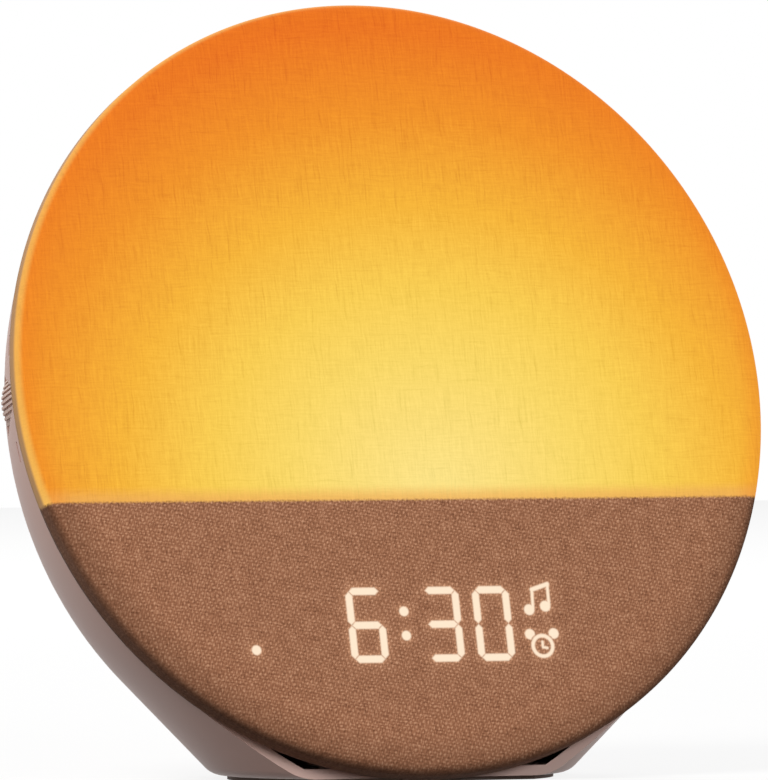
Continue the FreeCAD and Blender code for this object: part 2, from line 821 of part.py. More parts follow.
def make_base():
    plate = base_hatch_plate(0, foot_t, base_height + shell_wall)
    for x, y in hatch_screw_places():
        plate = plate.cut(Part.makeCylinder(screw_r + screw_gap, deep, V(x, y, 0)))
    save("base_hatch", plate)
    pad = foot_form(foot_inset, 0, foot_t)
    head_low = foot_t - screw_head_h - foot_gap
    for x, y in hatch_screw_places():
        pad = pad.cut(Part.makeCylinder(screw_head_r + foot_screw_gap, deep, V(x, y, head_low)))
    save("foot_pad", one(pad))
    screws = [placed(screw(), V(x, y, foot_t), V(0, 0, -1)) for x, y in hatch_screw_places()]
    save("hatch_screws", group(screws))


# Button on the crown
def button_screw_places():
    return [x * (button_board[0] / 2 - button_screw_edge) for x in (-1, 1)]


def button_posts():
    """Posts that carry the button's board above the floor of its cup."""
    height = button_board_top - button_board[2] - well_floor
    posts = []
    for x in button_screw_places():
        post = Part.makeCylinder(2 * small_screw_r + small_post_wall, height, V(x, 0, well_floor))
        posts.append(post.cut(Part.makeCylinder(small_screw_r, height + past, V(x, 0, well_floor))))
    return posts


def make_button():
    cap = at_button(oblong(button_len, button_w, -button_depth, button_reach))
    cap = cap.common(housing_form(-button_proud, base_height - button_proud))
    walls = 2 * button_wall
    hollow = at_button(oblong(button_len - walls, button_w - walls, -button_reach, button_reach))
    hollow = hollow.common(housing_form(button_wall, base_height + button_wall))
    cap = cap.cut(hollow)
    post = Part.makeCylinder(button_post_r, button_post_end - button_wall / 2, V(0, 0, -button_post_end))
    save("crown_button", one(cap.fuse(at_button(post))))
    plunger = Part.makeCylinder(plunger_r, plunger_len, V(0, 0, -button_post_end - plunger_len))
    save("switch_plunger", at_button(plunger))
    w, h, t = switch_body
    body = Part.makeBox(w, h, t, V(-w / 2, -h / 2, switch_top - t))
    room_low = -button_post_end - plunger_len - button_travel - screw_sink
    body = body.cut(Part.makeCylinder(plunger_r + axle_gap, button_reach, V(0, 0, room_low)))
    save("button_switch", at_button(body))
    bw, bh, bt = button_board
    low = button_board_top - bt
    board = Part.makeBox(bw, bh, bt, V(-bw / 2, -bh / 2, low))
    screws = []
    for x in button_screw_places():
        board = board.cut(Part.makeCylinder(small_screw_r + screw_gap, button_reach, V(x, 0, low - past)))
        pin = Part.makeCylinder(small_screw_r, small_screw_len, V(x, 0, button_board_top - small_screw_len))
        head = Part.makeCylinder(small_head_r, small_head_h, V(x, 0, button_board_top))
        screws.append(at_button(pin.fuse(head)))
    save("button_board", at_button(board))
    save("button_board_screws", group(screws))


# Boards, speaker and inlet
def make_main_board():
    w, h, t = main_board
    board = Part.makeBox(w, t, h, V(-w / 2, main_board_y, main_board_z - h / 2))
    for p, q in board_screw_places():
        start = V(p, main_board_y - past, q)
        board = board.cut(Part.makeCylinder(screw_r + screw_gap, deep, start, V(0, 1, 0)))
    save("main_board", board)
    front = main_board_y

    def part_on_board(x, z, pw, ph, depth):
        return Part.makeBox(pw, depth, ph, V(x - pw / 2, front - depth, main_board_z + z - ph / 2))

    chips = [part_on_board(*chip) for chip in board_chips]
    chips += [part_on_board(x, connector_z, *connector) for x in connector_places]
    for x in can_places:
        chips.append(Part.makeCylinder(can_r, can_h, V(x, front, main_board_z + can_z), V(0, -1, 0)))
    save("board_parts", group(chips))
    save("radio_module", part_on_board(*radio))
    screws = [placed(screw(), V(p, main_board_y, q), V(0, -1, 0)) for p, q in board_screw_places()]
    save("board_screws", group(screws))


def ring_y(r, bore_r, y0, y1):
    """A ring about the speaker axis between two depths."""
    plate = Part.makeCylinder(r, y1 - y0, V(0, y0, speaker_z), V(0, 1, 0))
    return plate.cut(Part.makeCylinder(bore_r, deep, V(0, y0 - past, speaker_z), V(0, 1, 0)))


def make_speaker():
    y = speaker_front_y
    back = y - speaker_basket_depth
    flange = ring_y(speaker_flange_r, speaker_bore_r, y - speaker_flange_t, y)
    along = V(0, 1, 0)
    foot_r = speaker_magnet_r + basket_foot
    wall_depth = speaker_basket_depth - speaker_flange_t
    cone_wall = Part.makeCone(foot_r, speaker_r, wall_depth, V(0, back, speaker_z), along)
    hollow = Part.makeCone(foot_r - basket_wall, speaker_bore_r, wall_depth - basket_wall,
                           V(0, back + basket_wall, speaker_z), along)
    basket = flange.fuse(cone_wall.cut(hollow))
    basket = basket.cut(Part.makeCylinder(basket_vent_r, wall_depth / 2, V(0, back - past, speaker_z), along))
    save("speaker_basket", one(basket))
    magnet_at = V(0, back - speaker_magnet_t, speaker_z)
    magnet = Part.makeCylinder(speaker_magnet_r, speaker_magnet_t, magnet_at, along)
    rims = [e for e in magnet.Edges if len(e.Vertexes) == 1]
    save("speaker_magnet", magnet.makeChamfer(magnet_chamfer, rims))
    depth = speaker_basket_depth - speaker_flange_t - screw_sink
    rim_r = speaker_bore_r - cone_rim_gap
    cone = Part.makeCone(cone_neck_r, rim_r, depth, V(0, y - depth, speaker_z), along)
    inside_at = V(0, y - depth + cone_t, speaker_z)
    inside = Part.makeCone(cone_neck_r - cone_t, rim_r - cone_t, depth, inside_at, along)
    cap = Part.makeSphere(cap_ball_r, V(0, y - depth - cap_sink, speaker_z))
    cap = cap.common(Part.makeCylinder(cap_r, deep, V(0, y - depth + cone_t / 2, speaker_z), along))
    save("speaker_cone", one(cone.cut(inside).fuse(cap)))
    save("speaker_gasket", ring_y(speaker_flange_r, speaker_bore_r, y, y + gasket_t))


def make_inlet():
    w, depth, h = inlet_size
    y1 = inlet_floor_y - pocket_wall
    body = Part.makeBox(w, depth, h, V(-w / 2, y1 - depth, inlet_z - h / 2))
    nose = Part.makeCylinder(inlet_bore_r + inlet_nose_wall, pocket_wall, V(0, y1, inlet_z), V(0, 1, 0))
    body = body.fuse(nose)
    bottom = V(0, inlet_floor_y - inlet_bore_depth, inlet_z)
    body = body.cut(Part.makeCylinder(inlet_bore_r, deep, bottom, V(0, 1, 0)))
    save("power_inlet", one(body))
    save("inlet_pin", Part.makeCylinder(inlet_pin_r, inlet_bore_depth - inlet_pin_gap, bottom, V(0, 1, 0)))


def run(points, width_or_r, ribbon):
    """A flat ribbon or a round lead along straight runs, with rounded bends."""
    pieces = []
    for start, end in zip(points, points[1:]):
        along = end - start
        if ribbon:
            body = Part.makeBox(width_or_r, ribbon_t, along.Length, V(-width_or_r / 2, -ribbon_t / 2, 0))
            turn = FreeCAD.Rotation(V(1, 0, 0), -math.degrees(math.atan2(along.y, along.z)))
            body.Placement = FreeCAD.Placement(start, turn)
        else:
            body = Part.makeCylinder(width_or_r, along.Length, start, along)
        pieces.append(body)
    for bend in points[1:-1]:
        if ribbon:
            start = bend - V(width_or_r / 2, 0, 0)
            pieces.append(Part.makeCylinder(ribbon_t / 2, width_or_r, start, V(1, 0, 0)))
        else:
            pieces.append(Part.makeSphere(width_or_r, bend))
    return pieces[0].fuse(pieces[1:]) if len(pieces) > 1 else pieces[0]


def connector_foot(x):
    """Where a lead meets its connector on the main board."""
    return V(x, main_board_y - connector[2] / 2, main_board_z + connector_z - connector[1] / 2 - lead_r)


def make_leads():
    ribbon_x, light_x, speaker_x, power_x = connector_places
    back = chamber_d + light_box[2] + display_board[2]
    q = digit_centre_q + display_ribbon_rise
    points = [face_point(ribbon_x, q, back), face_point(ribbon_x, q, back + display_ribbon_rise)]
    points += [V(ribbon_x, *display_ribbon_turn), connector_foot(ribbon_x)]
    save("display_ribbon", run(points, display_ribbon_w, True))
    start = face_point(light_x, light_board_q, tray_back_d - tray_wall)
    behind = face_point(light_x, light_board_q, tray_back_d + light_ribbon_drop)
    points = [start, behind, connector_foot(light_x)]
    save("light_ribbon", run(points, light_ribbon_w, True))
    leads = []
    flange_back = speaker_front_y - speaker_flange_t
    for side in (-1, 1):
        x = speaker_x + side * lead_pitch / 2
        z = speaker_z + speaker_flange_r - speaker_flange_t
        out, rise = speaker_lead_turn
        points = [V(x, flange_back, z), V(x, flange_back - out, z), V(x, flange_back - rise, z + rise)]
        leads.append(run(points + [connector_foot(x)], lead_r, False))
    save("speaker_leads", group(leads))
    leads = []
    top = inlet_z + inlet_size[2] / 2
    for side in (-1, 1):
        shift = side * lead_pitch / 2
        start = V(shift, inlet_floor_y - pocket_wall - inlet_size[1] * 0.7, top)
        around = speaker_flange_r + speaker_lead_turn[1] + shift
        points = [start, start + V(0, 0, power_lead_rise)]
        points += [V(around, y, z) for y, z in power_lead_turns]
        leads.append(run(points + [connector_foot(power_x + shift)], lead_r, False))
    save("power_leads", group(leads))


def make_dial_screws():
    screws = []
    for side in (-1, 1):
        for p, q in dial_board_screws(side):
            screws.append(placed(screw(dial_screw_len), face_point(p, q, encoder_back_d), outward))
    save("dial_board_screws", group(screws))


make_fabric_cover()
make_front_frame()
make_trim_ring()
make_sheets()
make_reflector_tray()
make_light_divider()
make_light_board()
make_display()
for side, name in ((-1, "left"), (1, "right")):
    make_dial(side, name)
make_dial_screws()
make_housing()
make_base()
make_button()
make_main_board()
make_speaker()
make_inlet()
make_leads()
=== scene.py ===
import json
import math

import bpy
import bmesh
from mathutils import Matrix, Vector


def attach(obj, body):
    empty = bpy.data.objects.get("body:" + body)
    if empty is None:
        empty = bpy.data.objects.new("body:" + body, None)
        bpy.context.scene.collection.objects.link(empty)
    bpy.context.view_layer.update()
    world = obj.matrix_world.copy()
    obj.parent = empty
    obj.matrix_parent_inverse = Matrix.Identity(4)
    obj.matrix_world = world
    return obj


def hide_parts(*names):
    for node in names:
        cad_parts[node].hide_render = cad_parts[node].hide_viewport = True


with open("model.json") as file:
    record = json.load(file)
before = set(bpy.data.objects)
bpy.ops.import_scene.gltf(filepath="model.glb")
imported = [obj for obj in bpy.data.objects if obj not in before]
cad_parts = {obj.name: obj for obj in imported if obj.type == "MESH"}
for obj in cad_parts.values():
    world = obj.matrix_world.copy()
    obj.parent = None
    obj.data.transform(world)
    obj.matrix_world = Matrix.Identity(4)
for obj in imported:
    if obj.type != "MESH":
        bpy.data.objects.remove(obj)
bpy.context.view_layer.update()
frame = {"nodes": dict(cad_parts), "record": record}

nodes = frame["nodes"]
MM = 0.001

# Sizes shared with the CAD source, in millimetres and degrees
LEAN = math.radians(16.0)
FACE_CENTRE = Vector((0.0, -3.448, 93.520))
FACE_R = 95.0
CLOTH_T = 0.8
CLOTH_EDGE_R = 2.6
CLOTH_DEPTH = 6.5
DIVIDER_Q = -28.2
OUTWARD = Vector((0.0, -math.cos(LEAN), math.sin(LEAN)))
UP_FACE = Vector((0.0, math.sin(LEAN), math.cos(LEAN)))
RIGHT = Vector((1.0, 0.0, 0.0))


def face_point(p, q, d):
    """A point of the leaning face in metres: across, up the face and behind it."""
    return (FACE_CENTRE + RIGHT * p + UP_FACE * q - OUTWARD * d) * MM


class Value:
    """A socket whose sums, written as Python, are made into Math nodes."""

    def __init__(self, graph, socket):
        self.graph = graph
        self.socket = socket

    def __add__(self, other):
        return self.graph.math("ADD", self, other)

    def __radd__(self, other):
        return self.graph.math("ADD", other, self)

    def __sub__(self, other):
        return self.graph.math("SUBTRACT", self, other)

    def __rsub__(self, other):
        return self.graph.math("SUBTRACT", other, self)

    def __mul__(self, other):
        return self.graph.math("MULTIPLY", self, other)

    def __rmul__(self, other):
        return self.graph.math("MULTIPLY", other, self)

    def __truediv__(self, other):
        return self.graph.math("DIVIDE", self, other)

    def __abs__(self):
        return self.graph.math("ABSOLUTE", self)


class Graph:
    """One node material with a Principled shader."""

    def __init__(self, name):
        self.mat = bpy.data.materials.new(name)
        self.mat.use_nodes = True
        self.tree = self.mat.node_tree
        self.shader = self.tree.nodes["Principled BSDF"]

    def node(self, kind, **settings):
        n = self.tree.nodes.new(kind)
        for key, value in settings.items():
            setattr(n, key, value)
        return n

    def feed(self, socket, value):
        if isinstance(value, Value):
            self.tree.links.new(value.socket, socket)
        else:
            socket.default_value = value

    def math(self, op, a, b=None):
        n = self.node("ShaderNodeMath", operation=op)
        self.feed(n.inputs[0], a)
        if b is not None:
            self.feed(n.inputs[1], b)
        return Value(self, n.outputs[0])

    def least(self, a, b):
        return self.math("MINIMUM", a, b)

    def most(self, a, b):
        return self.math("MAXIMUM", a, b)

    def vector(self, op, a, b=None, out=0):
        n = self.node("ShaderNodeVectorMath", operation=op)
        self.feed(n.inputs[0], a)
        if b is not None:
            self.feed(n.inputs[1], b)
        return Value(self, n.outputs[out])

    def dot(self, a, axis):
        return self.vector("DOT_PRODUCT", a, tuple(axis), out="Value")

    def combine(self, x, y, z=0.0):
        n = self.node("ShaderNodeCombineXYZ")
        for i, v in enumerate((x, y, z)):
            self.feed(n.inputs[i], v)
        return Value(self, n.outputs[0])

    def millimetres(self):
        coords = self.node("ShaderNodeTexCoord")
        scale = 1.0 / MM
        return self.vector("MULTIPLY", Value(self, coords.outputs["Object"]), (scale, scale, scale))

    def noise(self, where, scale=1.0, detail=2.0, roughness=0.5):
        n = self.node("ShaderNodeTexNoise")
        self.feed(n.inputs["Vector"], where)
        n.inputs["Scale"].default_value = scale
        n.inputs["Detail"].default_value = detail
        n.inputs["Roughness"].default_value = roughness
        return Value(self, n.outputs["Fac"])

    def step(self, value, low, high):
        """Smooth rise from 0 at low to 1 at high; it falls where low is the larger."""
        n = self.node("ShaderNodeMapRange", interpolation_type="SMOOTHSTEP")
        self.feed(n.inputs["Value"], value)
        n.inputs["From Min"].default_value = low
        n.inputs["From Max"].default_value = high
        return Value(self, n.outputs["Result"])

    def ramp(self, value, stops):
        n = self.node("ShaderNodeValToRGB")
        self.feed(n.inputs["Fac"], value)
        ramp = n.color_ramp
        for element, (position, colour) in zip(ramp.elements, (stops[0], stops[-1])):
            element.position = position
            element.color = colour + (1.0,)
        for position, colour in stops[1:-1]:
            ramp.elements.new(position).color = colour + (1.0,)
        return Value(self, n.outputs["Color"])

    def mix(self, factor, a, b):
        n = self.node("ShaderNodeMix", data_type="RGBA")
        self.feed(n.inputs["Factor"], factor)
        for socket, colour in ((n.inputs[6], a), (n.inputs[7], b)):
            self.feed(socket, colour if isinstance(colour, Value) else tuple(colour) + (1.0,))
        return Value(self, n.outputs[2])

    def constant(self, colour):
        n = self.node("ShaderNodeCombineXYZ")
        for i, c in enumerate(colour):
            n.inputs[i].default_value = c
        return Value(self, n.outputs[0])

    def scaled(self, colour, factor):
        return self.vector("MULTIPLY", colour, self.combine(factor, factor, factor))

    def bump(self, height, distance, strength=1.0):
        n = self.node("ShaderNodeBump")
        n.inputs["Strength"].default_value = strength
        n.inputs["Distance"].default_value = distance * MM
        self.feed(n.inputs["Height"], height)
        self.tree.links.new(n.outputs["Normal"], self.shader.inputs["Normal"])

    def set(self, **inputs):
        for key, value in inputs.items():
            socket = self.shader.inputs[key.replace("_", " ")]
            if isinstance(value, tuple) and len(value) == 3:
                value = value + (1.0,)
            self.feed(socket, value)
        return self.mat


def srgb(r, g, b):
    """Linear colour of an 8-bit display colour."""
    out = []
    for c in (r, g, b):
        c /= 255.0
        out.append(c / 12.92 if c <= 0.04045 else ((c + 0.055) / 1.055) ** 2.4)
    return tuple(out)


# Camera: the photograph's viewing angle, found from the disc's outline
VIEW_AZIMUTH = math.radians(-21.94)
VIEW_ELEVATION = math.radians(0.78)
VIEW_DISTANCE = 2575.0
VIEW_LENS = 500.0
VIEW_SHIFT_RIGHT = -2.88
VIEW_SHIFT_UP = -1.25


def make_camera():
    a, e = VIEW_AZIMUTH, VIEW_ELEVATION
    right = Vector((math.cos(a), math.sin(a), 0.0))
    forward = Vector((-math.sin(a) * math.cos(e), math.cos(a) * math.cos(e), -math.sin(e)))
    up = right.cross(forward)
    place = FACE_CENTRE - forward * VIEW_DISTANCE + right * VIEW_SHIFT_RIGHT + up * VIEW_SHIFT_UP
    data = bpy.data.cameras.new("camera")
    data.lens = VIEW_LENS
    data.sensor_width = 36.0
    data.sensor_fit = "AUTO"
    data.clip_start = 0.05
    data.clip_end = 20.0
    camera = bpy.data.objects.new("camera", data)
    bpy.context.scene.collection.objects.link(camera)
    turn = Matrix((right, up, -forward)).transposed()
    camera.matrix_world = Matrix.Translation(place * MM) @ turn.to_4x4()
    bpy.context.scene.camera = camera


make_camera()
bpy.context.scene.view_settings.view_transform = "Standard"


# Cloth cover: a closed cup of cloth pulled over the front frame
FLAT_RINGS = (0.0, 0.08, 0.2, 0.35, 0.5, 0.62, 0.74, 0.84, 0.92, 0.97)
EDGE_STEPS = 12
WALL_RINGS = (0.25, 0.5, 0.75, 1.0)
COVER_SEGMENTS = 360


def cup_profile(r, t, edge_r):
    """Radius and depth pairs of one side of the cup, from the centre out and back to the rim."""
    points = [((r - edge_r) * f, t) for f in FLAT_RINGS]
    for i in range(EDGE_STEPS + 1):
        a = math.pi / 2 * i / EDGE_STEPS
        points.append((r - edge_r + edge_r * math.sin(a), t + edge_r * (1 - math.cos(a))))
    for f in WALL_RINGS:
        points.append((r, t + edge_r + (CLOTH_DEPTH - t - edge_r) * f))
    return points


def make_cover(segments=COVER_SEGMENTS):
    outer = cup_profile(FACE_R, 0.0, CLOTH_EDGE_R)
    inner = cup_profile(FACE_R - CLOTH_T, CLOTH_T, CLOTH_EDGE_R - CLOTH_T)
    profile = outer + inner[::-1]
    bm = bmesh.new()
    rings = []
    for r, d in profile:
        if r == 0.0:
            rings.append([bm.verts.new(face_point(0.0, 0.0, d))])
            continue
        ring = []
        for i in range(segments):
            a = 2 * math.pi * i / segments
            ring.append(bm.verts.new(face_point(r * math.cos(a), r * math.sin(a), d)))
        rings.append(ring)
    for low, high in zip(rings, rings[1:]):
        for i in range(segments):
            j = (i + 1) % segments
            if len(low) == 1:
                loop = [low[0], high[i], high[j]]
            elif len(high) == 1:
                loop = [low[i], high[0], low[j]]
            else:
                loop = [low[i], high[i], high[j], low[j]]
            bm.faces.new(loop)
    bmesh.ops.recalc_face_normals(bm, faces=bm.faces)
    for face in bm.faces:
        face.smooth = True
    mesh = bpy.data.meshes.new("cover_cloth")
    bm.to_mesh(mesh)
    bm.free()
    cover = bpy.data.objects.new("cover_cloth", mesh)
    bpy.context.scene.collection.objects.link(cover)
    return cover


# Signed distances of the lit marks, in millimetres on the face
DIGIT_W = 7.7
DIGIT_H = 16.5
DIGIT_Q = -58.75
STROKE_HALF = 0.86
STROKE_GAP = 0.14
DIAGONAL = math.sqrt(0.5)
DOT_R = 1.15
COLON_DOTS = ((-4.2, -55.5), (-4.2, -61.4))
PLAIN_DOT = (-42.5, -64.4)
NOTE_HEAD_R = 1.3
NOTE_STEM_HALF = 0.35
NOTE_BEAM_HALF = 0.5
ALARM_CENTRE = (30.4, -64.4)
ALARM_R = 2.5
ALARM_RING_HALF = 0.42
ALARM_BELL_R = 1.25
ALARM_HAND_HALF = 0.28
ALARM_PIVOT = (30.4, -64.7)
BELL_GAP_R = 3.12
BELL_GAP_HALF = 0.14


def hexagon(g, across, along, half_length):
    """Distance to a stroke with mitred ends; both distances are already folded."""
    side = across - STROKE_HALF
    ends = (across + along - (half_length - STROKE_GAP)) * DIAGONAL
    return g.most(side, ends)


def digit(g, p, q, left, rows, columns):
    """rows: 3 or 2 crossbars; columns: (side, part), part 0 for both halves, 1 upper and -1 lower."""
    u = p - (left + DIGIT_W / 2)
    v = q - DIGIT_Q
    fold = abs(v)
    across = abs(fold - DIGIT_H / 2)
    if rows == 3:
        across = g.least(across, fold)
    found = hexagon(g, across, abs(u), DIGIT_W / 2)
    for side, part in columns:
        away = abs(u - side * DIGIT_W / 2)
        along = abs(fold - DIGIT_H / 4) if part == 0 else abs(v - part * DIGIT_H / 4)
        found = g.least(found, hexagon(g, away, along, DIGIT_H / 4))
    return found


def round_mark(g, p, q, centre, r):
    u = p - centre[0]
    v = q - centre[1]
    return g.math("SQRT", u * u + v * v) - r


def line_mark(g, p, q, start, end, half):
    """Distance to a straight stroke with round ends."""
    du, dv = end[0] - start[0], end[1] - start[1]
    length = math.hypot(du, dv)
    au, av = du / length, dv / length
    u = p - (start[0] + end[0]) / 2
    v = q - (start[1] + end[1]) / 2
    along = g.most(abs(u * au + v * av) - length / 2, 0.0)
    across = u * av - v * au
    return g.math("SQRT", along * along + across * across) - half


def display_distance(g, p, q):
    def disc(centre, r):
        return round_mark(g, p, q, centre, r)

    def line(start, end, half):
        return line_mark(g, p, q, start, end, half)

    marks = [
        # 6, 3 and 0
        digit(g, p, q, -17.8, 3, ((-1, 0), (1, -1))),
        digit(g, p, q, 1.6, 3, ((1, 0),)),
        digit(g, p, q, 14.5, 2, ((-1, 0), (1, 0))),
        disc(COLON_DOTS[0], DOT_R),
        disc(COLON_DOTS[1], DOT_R),
        disc(PLAIN_DOT, DOT_R),
        # Note
        disc((27.9, -55.5), NOTE_HEAD_R),
        disc((32.1, -54.7), NOTE_HEAD_R),
        line((28.9, -55.2), (29.1, -50.7), NOTE_STEM_HALF),
        line((33.1, -54.4), (33.2, -49.4), NOTE_STEM_HALF),
        line((29.1, -50.6), (33.2, -49.3), NOTE_BEAM_HALF),
        # Alarm clock sign: ring, bells and hands
        abs(disc(ALARM_CENTRE, ALARM_R)) - ALARM_RING_HALF,
        disc((27.4, -61.5), ALARM_BELL_R),
        disc((33.5, -61.4), ALARM_BELL_R),
        line(ALARM_PIVOT, (30.4, -63.4), ALARM_HAND_HALF),
        line(ALARM_PIVOT, (31.5, -64.9), ALARM_HAND_HALF),
    ]
    found = marks[0]
    for mark in marks[1:]:
        found = g.least(found, mark)
    # The sign's ring keeps a fine dark gap to its bells
    gap = abs(disc(ALARM_CENTRE, BELL_GAP_R)) - BELL_GAP_HALF
    return g.most(found, gap * -1.0)


BROWN = srgb(170, 116, 85)
DARK_THREAD = srgb(118, 74, 50)
PALE_THREAD = srgb(214, 162, 128)
LIT_BASE = srgb(92, 44, 14)
LIT_SHADE = srgb(66, 30, 10)
LIT_WALL_BASE = srgb(170, 134, 104)
DIGIT_LIT_BASE = srgb(60, 48, 38)
GLOW = srgb(255, 232, 205)
HALO = srgb(228, 178, 138)
LIT_STOPS = [
    (0.05, srgb(254, 234, 138)),
    (0.28, srgb(251, 223, 106)),
    (0.42, srgb(250, 212, 84)),
    (0.58, srgb(247, 186, 56)),
    (0.76, srgb(241, 149, 36)),
    (1.0, srgb(234, 102, 20)),
]
LOW_BAND = srgb(238, 178, 92)
RIM_GLOW = srgb(240, 132, 26)
WALL_GLOW_LEFT = srgb(246, 196, 96)
WALL_GLOW_RIGHT = srgb(238, 150, 44)

# Weave and light, in millimetres on the face
WALL_FROM, WALL_TO = 93.6, 94.9
TWILL_PITCH = 0.92
THREAD_PITCH = 1.06
WANDER = 1.5
LIGHT_P = 8.0
LIGHT_SQUEEZE = 0.9
LIGHT_REACH = 125.0
LIT_LEVEL = 0.90
WALL_LIGHT = 0.16
HALO_FALL = 1.15


def cloth_material():
    g = Graph("sunrise_cloth")
    where = g.vector("SUBTRACT", g.millimetres(), tuple(FACE_CENTRE))
    p = g.dot(where, RIGHT)
    q = g.dot(where, UP_FACE)
    d = g.dot(where, -OUTWARD)
    radius = g.math("SQRT", p * p + q * q)
    wall = g.step(radius, WALL_FROM, WALL_TO)
    # Threads wander a little
    wander = g.noise(g.combine(p * 0.35, q * 0.12, d), 1.0, 2.0) - 0.5
    wander_q = g.noise(g.combine(p * 0.12, q * 0.35, d), 1.0, 2.0) - 0.5
    pw = p + wander * WANDER
    qw = q + wander_q * WANDER
    # Twill: rising lines crossed by upright threads, uneven from yarn to yarn
    twill = g.math("SINE", (pw * 0.60 - qw * 0.80) * (2 * math.pi / TWILL_PITCH))
    thread = g.math("SINE", (pw * 0.96 + qw * 0.28) * (2 * math.pi / THREAD_PITCH))
    yarn_up = g.noise(g.combine(pw * 2.4, q * 0.16, 3.0), 1.0, 2.0, 0.6)
    yarn_across = g.noise(g.combine(p * 0.16, qw * 2.4, 5.0), 1.0, 2.0, 0.6)
    patchy = g.noise(g.combine(p * 0.3, q * 0.3, d), 1.0, 3.0, 0.6)
    grain = g.noise(g.combine(p * 1.7, q * 1.7, d * 1.7), 1.0, 2.0, 0.6)
    even = 1.0 - wall
    dots = (twill * thread) * 0.22 * even + (twill + thread) * 0.10 * even + 0.5
    lift = (dots - 0.5) * 0.9 + (grain - 0.5) * 1.1 + (yarn_up + yarn_across - 1.0) * 0.55
    lift = lift + (patchy - 0.5) * 0.4 + 0.5
    brown = g.ramp(lift, [(0.0, DARK_THREAD), (0.5, BROWN), (1.0, PALE_THREAD)])
    # Painted shade: the brown darkens towards the rim, and more on the side wall
    painted_rim_shade = g.step(radius, 84.0, 94.5) * 0.30 + wall * 0.25
    brown = g.scaled(brown, 1.0 - painted_rim_shade)
    # Slubs: thin uneven threads, seen best against the light
    slub = g.noise(g.combine(pw * 1.7, q * 0.07, 0.0), 1.0, 3.0, 0.65)
    weft = g.noise(g.combine(p * 0.08, qw * 1.5, 7.0), 1.0, 3.0, 0.65)
    dark_slub = g.step(slub, 0.54, 0.72)
    dark_weft = g.step(weft, 0.56, 0.74)
    pale_slub = g.step(slub, 0.44, 0.30)
    linen = (yarn_up - 0.5) * 0.34 + (yarn_across - 0.5) * 0.26 + (grain - 0.5) * 0.16
    linen = linen - dark_slub * 0.14 - dark_weft * 0.09 + pale_slub * 0.05
    # Light behind the cloth: brightest just above the divider, deep orange at the top
    across = (p - LIGHT_P) * LIGHT_SQUEEZE
    rise = q - DIVIDER_Q
    reach = g.math("SQRT", across * across + rise * rise)
    glow = g.ramp(reach / LIGHT_REACH - linen * 0.22, LIT_STOPS)
    low_band = g.step(rise + (slub - 0.5) * 1.6, 4.2, 0.2)
    glow = g.mix(low_band * 0.75, glow, LOW_BAND)
    rim = g.step(radius, 88.0, 94.2) * (1.0 - wall)
    side = g.step(p, -40.0, 60.0)
    glow = g.mix(rim * 0.35, glow, RIM_GLOW)
    glow = g.mix(wall * 0.7, glow, g.mix(side, WALL_GLOW_LEFT, WALL_GLOW_RIGHT))
    lit = g.step(rise + (grain - 0.5) * 0.9, -0.45, 0.45)
    front = g.step(d, 4.4, 2.2)
    # Painted light: above the divider the brown gives way to lit copies of the cloth, a dark orange
    # face and a paler side wall
    lit_base = g.mix(g.step(linen, 0.1, -0.2), LIT_BASE, LIT_SHADE)
    lit_base = g.mix(front, LIT_WALL_BASE, lit_base)
    base = g.mix(lit, brown, lit_base)
    # Clock digits shining through
    distance = display_distance(g, p, q)
    mark = g.step(distance, 0.30, -0.26)
    halo = g.math("POWER", 2.718, g.most(distance, 0.0) * -HALO_FALL)
    halo = halo * g.step(q, -44.0, -47.0) * (0.16 + (dots - 0.3) * 0.22)
    mark_light = g.scaled(g.constant(GLOW), mark * (0.98 + (grain - 0.5) * 0.10))
    halo_light = g.scaled(g.constant(HALO), halo * (1.0 - mark))
    depth_light = WALL_LIGHT + front * (1.0 - WALL_LIGHT)
    light = g.scaled(glow, lit * (1.0 + linen * 0.45) * depth_light * LIT_LEVEL)
    emission = g.vector("ADD", light, g.vector("ADD", mark_light, halo_light))
    # Painted light: under the glowing digits the cloth takes a darker lit copy of its colour
    base = g.mix(mark, base, DIGIT_LIT_BASE)
    height = dots * (1.0 - lit * 0.7) + (yarn_up + yarn_across) * 0.5
    g.bump(height - dark_slub * 0.3 + grain * 0.5, 0.08, 0.8)
    return g.set(
        Base_Color=base, Roughness=0.88 + (grain - 0.5) * 0.14,
        Emission_Color=emission, Emission_Strength=1.0,
        Sheen_Weight=0.06, Sheen_Roughness=0.5, Specular_IOR_Level=0.12)


def plastic(name, colour, roughness=0.5, grain_mm=0.35, bump_mm=0.02, vary=0.06, coat=0.0,
            mottled=0.02, worn=0.0):
    """Moulded plastic: fine spark-eroded grain, slight colour drift and paler scuffs."""
    g = Graph(name)
    where = g.millimetres()
    fine = g.noise(where, 1.0 / grain_mm, 3.0, 0.6)
    broad = g.noise(where, 0.035, 3.0, 0.55)
    rub = g.noise(g.vector("MULTIPLY", where, (0.25, 0.25, 1.2)), 0.8, 4.0, 0.65)
    dark = tuple(c * (1.0 - vary) for c in colour)
    light = tuple(min(1.0, c * (1.0 + vary)) for c in colour)
    tone = g.ramp(broad * 0.8 + fine * 0.2, [(0.3, dark), (0.7, light)])
    speck = g.step(fine, 0.62, 0.8) * mottled * 4.0
    tone = g.mix(speck, tone, tuple(c * 0.72 for c in colour))
    scuff = g.step(rub, 0.62, 0.82)
    tone = g.mix(scuff * worn, tone, tuple(min(1.0, c * 1.25 + 0.02) for c in colour))
    g.bump(fine * 1.0 + broad * 0.3, bump_mm)
    rough = roughness + (fine - 0.5) * 0.16 + (broad - 0.5) * 0.10 + scuff * 0.10
    return g.set(Base_Color=tone, Roughness=rough, Coat_Weight=coat, Coat_Roughness=0.3,
                 Specular_IOR_Level=0.4)


